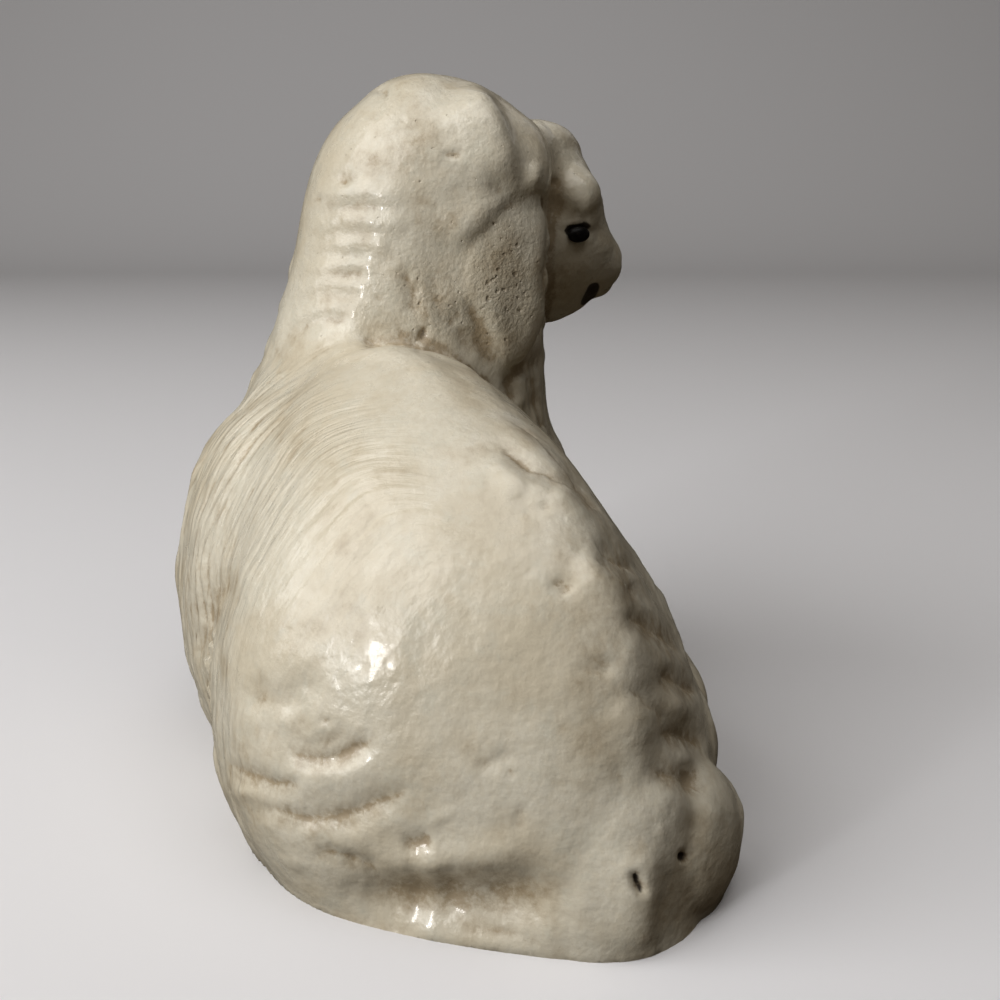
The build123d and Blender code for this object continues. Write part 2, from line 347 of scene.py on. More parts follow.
def curve(points, steps=6):
    """A smooth line through given points."""
    points = np.asarray(points, float)
    if len(points) < 3:
        return points
    ends = np.vstack([2 * points[0] - points[1], points, 2 * points[-1] - points[-2]])
    made = []
    for before, start, stop, after in zip(ends, ends[1:], ends[2:], ends[3:]):
        for step in range(steps):
            t = step / steps
            made.append(
                0.5
                * (
                    2 * start
                    + (stop - before) * t
                    + (2 * before - 5 * start + 4 * stop - after) * t**2
                    + (3 * start - before - 3 * stop + after) * t**3
                )
            )
    made.append(points[-1])
    return np.array(made)


def along_line(spots, line):
    """Each spot's distance from a line, which side it is on, and how far along it lies, 0 to 1."""
    distance = np.full(len(spots), np.inf)
    side = np.zeros(len(spots))
    along = np.zeros(len(spots))
    lengths = np.linalg.norm(np.diff(line, axis=0), axis=1)
    whole = lengths.sum()
    passed = 0.0
    for start, stop, length in zip(line, line[1:], lengths):
        run = (stop - start) / length
        reach = np.clip((spots - start) @ run, 0, length)
        away = spots - start - reach[:, None] * run
        gap = np.linalg.norm(away, axis=1)
        nearer = gap < distance
        distance = np.where(nearer, gap, distance)
        side = np.where(nearer, np.sign(run[0] * away[:, 1] - run[1] * away[:, 0]), side)
        along = np.where(nearer, (passed + reach) / whole, along)
        passed += length
    return distance, side, along


class Modelling:
    """Forms, stains and painted shade that are added up before they are pressed into the skin."""

    def __init__(self, points, normals):
        self.spots, self.ahead, self.seen = seen_from_camera(points, normals)
        sway = np.stack([noise(*(points / 1.7).T), noise(*(points / 1.7 + 40.0).T)], 1)
        self.spots = self.spots + hand_sway * sway
        self.rise = np.zeros(point_total)
        self.wash_and_shade = np.zeros(point_total)
        self.ink_and_shade = np.zeros(point_total)

    def near(self, low, high):
        """The seen points whose spots lie in a box of the picture."""
        inside = ((self.spots > low) & (self.spots < high)).all(1) & (self.seen > 0)
        return np.nonzero(inside)[0]

    def mark(self, line, width, rise, wash_and_shade=0.0, lip=0.0, ink_and_shade=0.0):
        """A groove or a ridge along a line of the picture. Its width may differ to the left and to
        the right, as the line runs. lip raises the left side, or the right where it is negative."""
        line = curve(line)
        left_width, right_width = width if isinstance(width, tuple) else (width, width)
        widest = max(left_width, right_width)
        reach = 4 * widest * focal_pixels / nearest_ahead
        at = self.near(line.min(0) - reach, line.max(0) + reach)
        distance, side, along = along_line(self.spots[at], line)
        distance = distance * self.ahead[at] / focal_pixels
        own_width = np.where(side < 0, left_width, right_width)
        taper = ease(along, -0.02, 0.3) * ease(1 - along, -0.02, 0.3)
        length = np.linalg.norm(np.diff(line, axis=0), axis=1).sum()
        pressure = 1 + 0.28 * noise(along * length / 17.0, np.full(len(at), line[0][0]))
        taper = taper * pressure * self.seen[at]
        bell = hump(distance, 0, own_width)
        self.rise[at] += rise * bell * taper
        if lip:
            raised = hump(distance, 1.1 * own_width, 1.5 * own_width)
            self.rise[at] += abs(lip) * raised * taper * (side * np.sign(lip) < 0)
        self.wash_and_shade[at] = np.maximum(self.wash_and_shade[at], wash_and_shade * bell * taper)
        self.ink_and_shade[at] = np.maximum(self.ink_and_shade[at], ink_and_shade * hump(distance, 0, 0.55 * own_width) * taper)

    def lump(self, spot, reach, rise, wash_and_shade=0.0, turn=0.0, ink_and_shade=0.0):
        """A round or oval swelling or dimple at a spot of the picture, its reach in pixels."""
        spot = np.array(spot, float)
        at = self.near(spot - 3 * max(reach), spot + 3 * max(reach))
        away = self.spots[at] - spot
        turn = radians(turn)
        long = (away @ [cos(turn), sin(turn)]) / reach[0]
        short = (away @ [-sin(turn), cos(turn)]) / reach[1]
        bell = np.exp(-(long**2 + short**2)) * self.seen[at]
        self.rise[at] += rise * bell
        self.wash_and_shade[at] = np.maximum(self.wash_and_shade[at], wash_and_shade * bell)
        self.ink_and_shade[at] = np.maximum(self.ink_and_shade[at], ink_and_shade * bell)

    def add(self, marks, lumps):
        for line, width, rise, wash_and_shade, lip, ink_and_shade in marks:
            self.mark(line, width, rise, wash_and_shade, lip, ink_and_shade)
        for spot, reach, rise, wash_and_shade, turn, ink_and_shade in lumps:
            self.lump(spot, reach, rise, wash_and_shade, turn, ink_and_shade)


def figure_places(points):
    """How far each point lies above the neck joint, where the spine is beside it, and its turn
    round the body, 0 degrees on the back and 90 at the side."""
    x, y, z = points.T
    joint_x, _, joint_z = joint_place
    slant = radians(joint_slant)
    over_joint = (x - joint_x) * sin(slant) + (z - joint_z) * cos(slant)
    spine = np.interp(x, *np.transpose(spine_line))
    turn_round = np.degrees(np.arctan2(np.abs(y - spine), z - wool_axis_height))
    return over_joint, spine, turn_round


def evened(points, area, reach, only_hollows=True, repeats=1):
    """The same points, evened out where area is 1. Only hollows are filled unless asked otherwise."""
    inside = blurred(area, 10) > 1e-4
    own = np.full(point_total, -1)
    own[inside] = np.arange(inside.sum())
    near_edges = own[edges[inside[edges].all(1)]]
    count = inside.sum()
    degree = np.maximum(np.bincount(near_edges.ravel(), minlength=count), 1)
    points = points.copy()
    for _ in range(repeats):
        normals = normals_of(points)[inside]
        old = points[inside]
        soft = old.copy()
        for _ in range(rounds_of(reach)):
            for column in soft.T:
                mean = sum_of_neighbours(column, near_edges, count) / degree
                column += 0.5 * (mean - column)
        sunk = ((soft - old) * normals).sum(1)
        if only_hollows:
            sunk = 1.5 * np.maximum(sunk, 0)
        points[inside] = old + (sunk * area[inside])[:, None] * normals
    return points


def in_window(spots, window):
    """1 inside a window of the picture, easing to 0 at its edges."""
    share = np.ones(len(spots))
    for values, (start, full, last, end) in zip(spots.T, window):
        share *= ease(values, start, full) * ease(end - values, 0, end - last)
    return share


# The fleece runs on over the left shoulder without a crease, and the ear lies against the head.
over_joint, spine, turn_round = figure_places(points)
spots, _, seen = seen_from_camera(points, normals)
shoulder_area = ease(points[:, 1] - spine, *shoulder_beside) * ease(points[:, 0], *shoulder_along)
shoulder_area *= ease(points[:, 2], *shoulder_up)
shoulder_area *= ease(-over_joint, *shoulder_under)
shoulder_area *= 1 - seen * ease(spots[:, 0], shoulder_seen_from, shoulder_seen_by)
ear_area = seen * in_window(spots, ear_window)
forehead_area = seen * in_window(spots, forehead_window)
crown_area = ease(points[:, 2], *crown_up)
points = evened(points, shoulder_area, 2.4, repeats=7)
points = evened(points, ear_area, 1.4, repeats=3)
points = evened(points, forehead_area, 2.0, repeats=5)
points = grounded(evened(points, crown_area, 2.2, only_hollows=False, repeats=2))
crown_away = np.hypot(points[:, 0] - crown_top[0], points[:, 1] - crown_top[1])
points[:, 2] += crown_rise * hump(crown_away, 0, crown_reach) * ease(points[:, 2], *crown_rise_up)
normals = normals_of(points)

# Large forms of the picture: line, width and rise in millimetres, wash with painted shade, lip, ink with
# painted shade.
large_marks = (
    # The long valley over the foot of the rump, under the haunch, darkened as painted shade, and its
    # flared rim.
    (((320, 884), (400, 897), (470, 898), (540, 892), (575, 874)), (2.4, 2.2), -1.7, 0.45, 0, 0),
    (((340, 900), (400, 911), (470, 916), (540, 917), (570, 910)), 1.7, -0.5, 0.3, 0, 0),
    (((345, 862), (410, 868), (470, 862), (545, 860)), 1.8, 0.7, 0, 0, 0),
    (((345, 926), (400, 937), (470, 945), (545, 954)), 0.8, 0.25, 0, 0, 0),
    # The corner beside the tail.
    (((640, 838), (645, 880), (643, 920), (638, 960)), (1.2, 2.6), 0.9, 0, 0, 0),
    # The front edge of the haunch, and the band before it, darkened as painted shade.
    (((246, 566), (229, 580), (216, 599), (210, 616), (204, 645), (204, 668)), 1.5, -0.8, 0.5, 0, 0),
    (((272, 556), (248, 574), (233, 591), (223, 608), (214, 640), (213, 686)), 1.7, 0.5, 0, 0, 0),
    # The crown's ridge, from the top of the head to the ear, and on as the ear's rear edge.
    (((462, 82), (476, 108), (490, 132), (497, 160), (501, 196)), (1.5, 2.8), 2.4, 0, 0, 0),
    (((504, 190), (486, 211), (470, 227), (448, 243)), (1.0, 2.4), 1.2, 0, 0, 0),
    # The upper and the front edge of the ear, with painted shade in the groove before it.
    (((494, 198), (520, 193), (548, 197)), (2.6, 0.8), 1.3, 0, 0, 0),
    (((541, 200), (543, 238), (539, 272), (539, 318), (538, 350)), (0.8, 1.4), 0.45, 0, 0, 0),
    (((556, 168), (558, 198), (552, 240), (549, 290), (548, 320)), 0.9, -0.9, 0.55, 0, 0.2),
    # The lower edge of the ear, towards the neck, darkened as painted shade.
    (((470, 296), (480, 322), (489, 343), (502, 368)), (1.0, 1.3), -0.9, 0.6, 0.35, 0),
    (((502, 369), (516, 371), (534, 365), (546, 354)), 0.8, -0.6, 0.5, 0, 0),
    # The edge of the fleece over the neck, with painted shade under it.
    (((362, 333), (399, 335), (440, 356), (472, 378)), (2.0, 1.2), -0.45, 0.25, -0.3, 0),
)

large_lumps = (
    ((584, 198), (14, 17), 1.3, 0, 0, 0),
    ((600, 230), (8, 8), -0.4, 0, 0, 0),
    ((556, 134), (18, 16), 0.5, 0, 0, 0),
    ((531, 158), (17, 32), 1.7, 0, -8, 0),
    ((529, 322), (9, 20), 0.35, 0, 0, 0),
    ((680, 905), (24, 46), -0.6, 0, 0, 0),
    ((712, 812), (13, 13), 0.4, 0, 0, 0),
)

shape = Modelling(points, normals)
shape.add(large_marks, large_lumps)
lowest = kept_height_share * points[:, 2]
points = points + blurred(shape.rise, rounds_of(0.6))[:, None] * normals
points[:, 2] = np.maximum(points[:, 2], lowest)
bent = ease(np.abs(shape.rise), 0.5, 1.4)
points = grounded(evened(points, blurred(bent, 6), 0.7, only_hollows=False))
normals = normals_of(points)

# Where the points lie on the figure, and how far each kind of wool reaches.
x, y, z = points.T
over_joint, spine, turn_round = figure_places(points)
flow = x + wool_lead * (1 - ease(turn_round, *lead_round))
on_body = ease(-over_joint, *body_under)
off_floor = ease(z, *wool_up)
hidden = 1 - ease(shape.seen, 0.0, 0.5)
off_spine = ease(turn_round, *strands_round)
forward = ease(x, *strands_fuller_along)
shoulder = ease(x, *locks_fuller_along) * ease(turn_round, *locks_fuller_round)
# Strands fade towards the spine, the rump, the breast and the floor.
woolly = on_body * off_spine * off_floor * (0.30 + 0.70 * forward) * ease(x, *strands_along)
woolly *= (1 - ease(x, *strands_fade_along)) * (0.55 + 0.45 * ease(x, *strands_deeper_along))


def locks_of(flow, along, pitch, sway):
    """Uneven locks side by side, each fading in and out along its length."""
    bent = flow / pitch + sway * noise(flow / (3.1 * pitch), along / 15.0)
    strength = 0.55 + 0.8 * noise(flow / (1.4 * pitch), along / 12.0, 3.7)
    turned = 2 * pi * bent
    wave = np.sin(turned - 0.45 * np.sin(turned))
    loose = noise(flow / (0.6 * pitch), along / 13.0, 8.2)
    return wave * np.clip(strength, 0, 1.3) + 0.6 * loose


locks = lock_rise * locks_of(flow, turn_round, lock_pitch, 0.8) * woolly * (0.45 + 0.75 * shoulder)
# Broad tufts that lie over each other, on the sides that the picture doesn't show.
lean = flow + 0.09 * turn_round
tufts = tuft_rise * locks_of(lean, 0.7 * turn_round, tuft_pitch, 0.9) * ease(turn_round, *tufts_round)
tufts *= hidden * on_body * off_floor * ease(x, *tufts_along)
# Folds that run round each haunch.
folds = np.zeros(point_total)
for place in haunch_places:
    away = np.linalg.norm((points - place) * (0.8, 1, 1.25), axis=1)
    same_side = (y - spine) * place[1] > 0
    zone = ease(-x, *haunch_folds_back) * ease(turn_round, *haunch_folds_round) * same_side
    wave = np.sin(2 * pi * (away / haunch_fold_pitch + 0.4 * noise(x / 7, y / 7, z / 7)))
    folds += haunch_fold_rise * wave * zone
folds *= hidden * on_body * off_floor
# Rolls of the neck and the throat, where the picture doesn't show them.
throat = ease(over_joint, *rolls_over) * ease(-over_joint, *rolls_under) * hidden
rolls = roll_rise * np.sin(2 * pi * (over_joint / roll_pitch + 0.5 * noise(x / 6, y / 6, z / 9)))
rolls *= throat
rolls *= 0.6 + 0.6 * noise(x / 5, y / 5, z / 7)

# Uneven clay everywhere, as a hand leaves it.
on_head = 1 - on_body
uneven = 0.10 * noise(x / 6.5, y / 6.5, z / 6.5) + 0.035 * noise(x / 2.4, y / 2.4, z / 2.4)
uneven += 0.03 * on_head * noise(x / 1.3, y / 1.3, z / 1.3)

# Smaller forms of the picture, in the same columns. The wash in their grooves and folds is partly the
# brown wash and partly painted shade.
small_marks = (
    # Soft folds of the haunch, which smile.
    (((232, 689), (266, 700), (283, 701), (305, 686), (328, 675)), 1.6, -0.5, 0.2, 0, 0),
    (((278, 751), (301, 760), (321, 763), (342, 758), (361, 748), (382, 735)), 1.1, -0.5, 0.55, -0.3, 0),
    (((286, 747), (318, 745), (342, 735), (358, 727)), 0.8, -0.22, 0.25, 0, 0),
    (((221, 760), (239, 773), (256, 780), (276, 787), (310, 786)), 1.1, -0.42, 0.5, -0.25, 0),
    (
        ((234, 806), (260, 811), (280, 813), (308, 822), (338, 820), (361, 813), (424, 785)),
        1.3,
        -0.42,
        0.45,
        -0.25,
        0,
    ),
    (((312, 847), (338, 856), (365, 866), (388, 877)), 1.0, -0.4, 0.35, -0.2, 0),
    (((399, 846), (416, 844), (434, 838)), 0.8, -0.35, 0.35, 0, 0),
    (((244, 716), (262, 733), (290, 736), (322, 722)), 1.3, -0.22, 0.18, 0, 0),
    (((473, 772), (494, 762), (515, 748)), 0.7, -0.14, 0.22, 0, 0),
    (((523, 802), (519, 818), (515, 834)), 0.6, -0.12, 0.2, 0, 0),
    # Edges over the rim of the foot, darkened as painted shade.
    (((455, 930), (488, 930), (506, 933), (552, 948)), 0.6, -0.12, 0.5, 0, 0),
    (((300, 902), (350, 921), (430, 934)), 0.6, -0.1, 0.4, 0, 0),
    # The slot beside the tail, painted black and brown as painted shade, and small ridges over it.
    (((633, 869), (638, 882), (645, 898)), 0.42, -0.75, 0.7, 0, 1.4),
    (((655, 824), (661, 834), (666, 844)), 0.5, 0.14, 0.2, 0, 0),
    # Overlapping locks of the right flank, each proud over the next, with painted shade in the grooves
    # between.
    (
        ((489, 438), (522, 466), (544, 476), (566, 486), (591, 503), (608, 520), (618, 530)),
        1.1,
        -0.5,
        0.45,
        -0.5,
        0,
    ),
    (
        ((494, 415), (518, 424), (535, 438), (547, 450), (561, 465), (577, 483), (599, 509)),
        0.9,
        -0.35,
        0.35,
        -0.3,
        0,
    ),
    (((533, 419), (547, 433), (556, 440), (566, 453), (580, 472), (596, 499)), 0.9, -0.4, 0.4, -0.3, 0),
    (((590, 537), (613, 558), (625, 565), (645, 580)), 1.1, -0.5, 0.4, -0.5, 0),
    (((582, 553), (600, 564), (613, 572), (622, 581), (655, 610)), 1.3, -0.55, 0.5, -0.4, 0),
    (((618, 618), (642, 623), (653, 632), (665, 639), (690, 660)), 1.4, -0.6, 0.6, -0.4, 0),
    (((652, 672), (676, 684), (706, 698)), 1.4, -0.55, 0.6, -0.35, 0),
    (((556, 578), (562, 584), (571, 592)), 0.8, -0.25, 0.25, 0, 0),
    (((603, 655), (601, 664), (600, 677)), 1.3, -0.14, 0.12, 0, 0),
    (((624, 686), (648, 706), (668, 730)), 1.4, -0.35, 0.2, -0.35, 0),
    (((517, 491), (524, 505), (531, 522)), 1.0, -0.14, 0.12, 0, 0),
    (((655, 738), (680, 737), (708, 750)), 1.4, -0.55, 0.6, -0.3, 0),
    (((645, 772), (680, 778), (710, 797)), 1.4, -0.6, 0.6, -0.3, 0),
    # Rolls at the back of the neck.
    (((318, 198), (352, 191), (386, 194), (412, 203)), 1.2, 0.26, 0, 0, 0),
    (((304, 216), (340, 209), (372, 210), (398, 216)), 1.1, -0.16, 0.25, 0, 0),
    (((330, 226), (360, 220), (390, 223), (410, 231)), 1.0, 0.22, 0, 0, 0),
    (((306, 240), (345, 233), (380, 236)), 1.0, -0.12, 0.1, 0, 0),
    (((322, 249), (352, 243), (382, 246), (404, 254)), 1.0, 0.2, 0, 0, 0),
    (((298, 264), (330, 256), (372, 258)), 1.0, -0.12, 0.1, 0, 0),
    (((294, 276), (322, 268), (352, 266), (380, 272)), 1.0, 0.22, 0, 0, 0),
    (((326, 276), (350, 274), (370, 277)), 0.8, -0.28, 0.55, 0, 0),
    (((288, 300), (312, 288), (348, 282), (382, 288)), 1.0, 0.18, 0, 0, 0),
    (((278, 318), (300, 300), (330, 294), (370, 300)), 1.1, -0.14, 0.15, 0, 0),
    (((270, 348), (290, 320), (326, 306), (376, 310)), 1.2, 0.2, 0, 0, 0),
    (((262, 366), (288, 338), (324, 320), (366, 322)), 0.9, -0.22, 0.15, 0, 0),
    # Streaks that run down the right side of the neck.
    (((404, 262), (410, 290), (418, 322)), 0.8, -0.3, 0.45, 0, 0),
    (((430, 268), (436, 296), (446, 330)), 0.8, -0.25, 0.45, 0, 0),
    (((453, 300), (460, 330), (474, 362)), 0.9, -0.35, 0.5, 0, 0),
    # Nicks and small edges of the head; the nicks and the pit are darkened with ink as painted shade.
    (((374, 84), (382, 90), (390, 93)), 0.8, -0.35, 0.2, 0, 0),
    (((443, 153), (451, 154), (461, 154)), 0.45, -0.22, 0.6, 0.08, 0.4),
    (((529, 160), (535, 172), (533, 186)), 0.6, 0.25, 0, 0, 0),
    (((421, 326), (423, 334), (421, 343)), 0.5, -0.5, 0.8, 0, 0.8),
    # The lid over the eye, and the mouth.
    (((560, 229), (574, 224), (588, 224), (600, 219)), 0.55, 0.25, 0.3, 0, 0),
    (((563, 233), (576, 229), (592, 225)), 0.8, -0.3, 0.5, 0, 2.4),
    (((595, 281), (593, 293), (583, 310)), 0.95, -0.35, 0.5, 0, 3.0),
    # Folds of the throat under the ear, with painted shade in the grooves.
    (((507, 372), (510, 386), (516, 404)), 0.8, -0.5, 0.5, 0, 0),
    (((521, 372), (523, 390), (526, 412)), 0.7, 0.3, 0, 0, 0),
    (((531, 367), (533, 390), (536, 416)), 0.7, -0.45, 0.5, 0, 0),
)

small_lumps = (
    # Pits, darkened partly by the wash and partly as painted shade, the deepest with ink.
    ((683, 857), (4, 5), -0.6, 0.5, 0, 1.3),
    ((326, 721), (8, 4), -0.16, 0.4, -10, 0),
    ((510, 773), (4, 4), -0.14, 0.45, 0, 0),
    ((544, 508), (5, 4), -0.18, 0.35, 0, 0),
    ((556, 581), (5, 5), -0.1, 0.3, 0, 0),
    ((568, 590), (5, 5), -0.1, 0.3, 0, 0),
    ((343, 182), (5, 4), -0.2, 0.4, 0, 0),
    ((318, 199), (4, 4), -0.15, 0.3, 0, 0),
    ((350, 127), (4, 3), -0.12, 0.3, 0, 0),
    ((402, 121), (4, 3), -0.12, 0.25, 0, 0),
    ((417, 288), (4, 5), -0.15, 0.4, 0, 0),
    ((379, 299), (5, 4), -0.15, 0.3, 0, 0),
    ((452, 323), (3, 5), -0.18, 0.45, 0, 0.3),
    ((346, 177), (17, 9), -0.25, 0.42, 0, 0),
    # Bright lobes.
    ((312, 831), (14, 7), 0.22, 0, -8, 0),
    ((273, 824), (13, 7), 0.18, 0, 6, 0),
    ((329, 771), (15, 6), 0.2, 0, -8, 0),
    ((246, 792), (11, 6), 0.18, 0, 15, 0),
    ((427, 868), (16, 8), 0.2, 0, 0, 0),
    ((296, 863), (15, 8), 0.18, 0, 12, 0),
    ((441, 817), (14, 7), 0.15, 0, -20, 0),
    ((673, 706), (10, 15), 0.4, 0, 0, 0),
    ((682, 762), (10, 12), 0.4, 0, 0, 0),
    ((606, 667), (8, 11), -0.1, 0.1, 0, 0),
    ((621, 776), (11, 13), -0.2, 0, 0, 0),
    ((536, 177), (6, 11), 0.28, 0, 10, 0),
    # Stains, and patches of painted shade where the figure is turned from the light: the valley over the
    # foot, the tail, the right flank, the front of the haunch, the ear and the side of the face.
    ((275, 347), (10, 14), 0, 0.35, 0, 0),
    ((352, 272), (9, 4), 0, 0.45, 0, 0),
    ((410, 150), (34, 32), 0, 0.42, 0, 0),
    ((372, 160), (26, 14), 0, 0.35, 0, 0),
    ((440, 296), (38, 42), 0, 0.42, 0, 0),
    ((505, 275), (36, 62), 0, 0.34, 0, 0),
    ((520, 350), (26, 22), 0, 0.4, 0, 0),
    ((440, 220), (44, 40), 0, 0.22, 0, 0),
    ((330, 205), (20, 14), 0, 0.3, 0, 0),
    ((560, 270), (30, 40), 0, 0.3, 0, 0),
    ((690, 885), (40, 50), 0, 0.35, 0, 0),
    ((470, 890), (110, 22), 0, 0.35, 0, 0),
    ((250, 790), (60, 60), 0, 0.2, 0, 0),
    ((200, 600), (26, 70), 0, 0.28, 0, 0),
    ((597, 301), (6, 3), -0.15, 0.5, -20, 1.6),
    ((600, 640), (48, 95), 0, 0.34, 0, 0),
    ((460, 905), (90, 10), 0, 0.55, 0, 0),
)

detail = Modelling(points, normals)
detail.add(small_marks, small_lumps)
modelled = locks + tufts + folds + rolls + uneven * off_floor + detail.rise
points = grounded(points + (modelled * ease(z, 0.0, 0.8))[:, None] * normals)
normals = normals_of(points)

# Hollows gather the wash and are darkened further as painted shade. They are where a point lies under
# its neighbours' mean.
tight = ((blurred(points, rounds_of(0.35)) - points) * normals).sum(1)
wide = ((blurred(points, rounds_of(1.3)) - points) * normals).sum(1)
hollow = ease(tight, 0.006, 0.05) * 0.45 + ease(wide, 0.03, 0.30) * 0.5
pressed = blurred(np.maximum(shape.wash_and_shade, detail.wash_and_shade), 1)
wash_and_shade = np.clip(np.maximum(hollow, pressed) + 0.35 * np.minimum(hollow, pressed), 0, 1)
# Ink: black paint of the eye line and mouth, and painted shade in the slot, pits and nicks.
ink_and_shade = np.clip(blurred(np.maximum(shape.ink_and_shade, detail.ink_and_shade), 1), 0, 1)

# How rough the clay is under the glaze: pitted on the ears and the right of the neck.
spots, _, seen = seen_from_camera(points, normals)
pit_zone, neck_zone = (
    hump(spots, np.array(middle), np.array(reach)).prod(1) * ease(seen, 0, 0.3)
    for middle, reach in (ear_pits, neck_pits)
)
pitted = np.clip(0.22 * on_head + 0.9 * pit_zone + 0.45 * neck_zone + 0.1, 0, 1)


def nearest_distance(name, at):
    """The distance of points from a solid's surface."""
    solid_points, faces = mesh_arrays(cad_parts[name].data)
    tree = BVHTree.FromPolygons(solid_points.tolist(), faces.tolist())
    gaps = np.full(point_total, np.inf)
    for index in at:
        gaps[index] = tree.find_nearest(points[index])[3]
    return gaps


def region_of_points():
    """Each point's casting: the ears and the tail where their solids are nearest."""
    names = ["body", "head", "left_ear", "right_ear", "tail"]
    region = np.where(over_joint > 0, 1, 0)
    for name in names[2:]:
        low, high = (np.array(corner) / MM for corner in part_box(name))
        at = np.nonzero(((points > low - skin_margin) & (points < high + skin_margin)).all(1))[0]
        own = nearest_distance(name, at)
        other = np.minimum(nearest_distance("body", at), nearest_distance("head", at))
        region[at] = np.where(own[at] < other[at], names.index(name), region[at])
    return names, region


piece_names, region = region_of_points()
quad_region = region[quads].max(1)


def colour_of(red, green, blue):
    return (red, green, blue, 1.0)


class Nodes:
    """Short calls for laying out a material."""

    def __init__(self, name):
        self.material = bpy.data.materials.new(name)
        self.material.use_nodes = True
        self.tree = self.material.node_tree
        self.tree.nodes.clear()

    def add(self, kind, **inputs):
        node = self.tree.nodes.new(kind)
        for key, value in inputs.items():
            self.set(node, key.replace("_", " "), value)
        return node

    def set(self, node, key, value):
        socket = node.inputs[int(key[1:])] if key[0] == "#" else node.inputs[key]
        if isinstance(value, bpy.types.NodeSocket):
            self.tree.links.new(value, socket)
        else:
            socket.default_value = value

    def math(self, operation, first, second=0.5):
        node = self.tree.nodes.new("ShaderNodeMath")
        node.operation = operation
        self.set(node, "#0", first)
        self.set(node, "#1", second)
        return node.outputs[0]

    def span(self, value, low, high, to_low=0.0, to_high=1.0):
        node = self.tree.nodes.new("ShaderNodeMapRange")
        node.interpolation_type = "SMOOTHSTEP"
        for key, number in (("#0", value), ("#1", low), ("#2", high), ("#3", to_low), ("#4", to_high)):
            self.set(node, key, number)
        return node.outputs[0]

    def blend(self, share, first, second):
        node = self.tree.nodes.new("ShaderNodeMix")
        node.data_type = "RGBA"
        self.set(node, "#0", share)
        self.set(node, "#6", first)
        self.set(node, "#7", second)
        return node.outputs[2]

    def noise(self, vector, scale, detail=3.0, roughness=0.5):
        node = self.tree.nodes.new("ShaderNodeTexNoise")
        self.set(node, "Vector", vector)
        self.set(node, "Scale", scale)
        self.set(node, "Detail", detail)
        self.set(node, "Roughness", roughness)
        return node.outputs[0]

    def attribute(self, name, output="Fac"):
        node = self.tree.nodes.new("ShaderNodeAttribute")
        node.attribute_name = name
        return node.outputs[output]

    def place(self):
        """Places in millimetres."""
        node = self.tree.nodes.new("ShaderNodeTexCoord")
        scaled = self.tree.nodes.new("ShaderNodeVectorMath")
        scaled.operation = "SCALE"
        self.tree.links.new(node.outputs["Object"], scaled.inputs[0])
        scaled.inputs["Scale"].default_value = 1 / MM
        return scaled.outputs[0]

    def bump(self, height, distance, normal=None):
        node = self.tree.nodes.new("ShaderNodeBump")
        node.inputs["Distance"].default_value = distance * MM
        self.set(node, "Height", height)
        if normal is not None:
            self.set(node, "Normal", normal)
        return node.outputs[0]

    def finish(self, shader):
        out = self.tree.nodes.new("ShaderNodeOutputMaterial")
        self.tree.links.new(shader.outputs[0], out.inputs["Surface"])
        return self.material


cream_light = colour_of(0.725, 0.68, 0.565)
cream_deep = colour_of(0.63, 0.565, 0.435)
cream_cool = colour_of(0.635, 0.605, 0.50)
# The brown of the wash, also used as painted shade in hollows, grooves and shadowed patches.
brown_wash_and_shade = colour_of(0.30, 0.215, 0.115)
# The black of the painted eye line and mouth, also used as painted shade in the slot, pits and nicks.
black_ink_and_shade = colour_of(0.03, 0.024, 0.02)
enamel_dark, enamel_light = colour_of(0.004, 0.004, 0.004), colour_of(0.012, 0.010, 0.009)
clay_light, clay_dark = colour_of(0.58, 0.50, 0.40), colour_of(0.46, 0.38, 0.29)
# What the floor throws back on the figure, as dark as carpet, and what the camera sees of it.
floor_bounce, floor_shown = colour_of(0.045, 0.034, 0.022), colour_of(0.80, 0.80, 0.83)
world_light, world_shown = colour_of(1.0, 0.82, 0.62), colour_of(0.70, 0.70, 0.72)


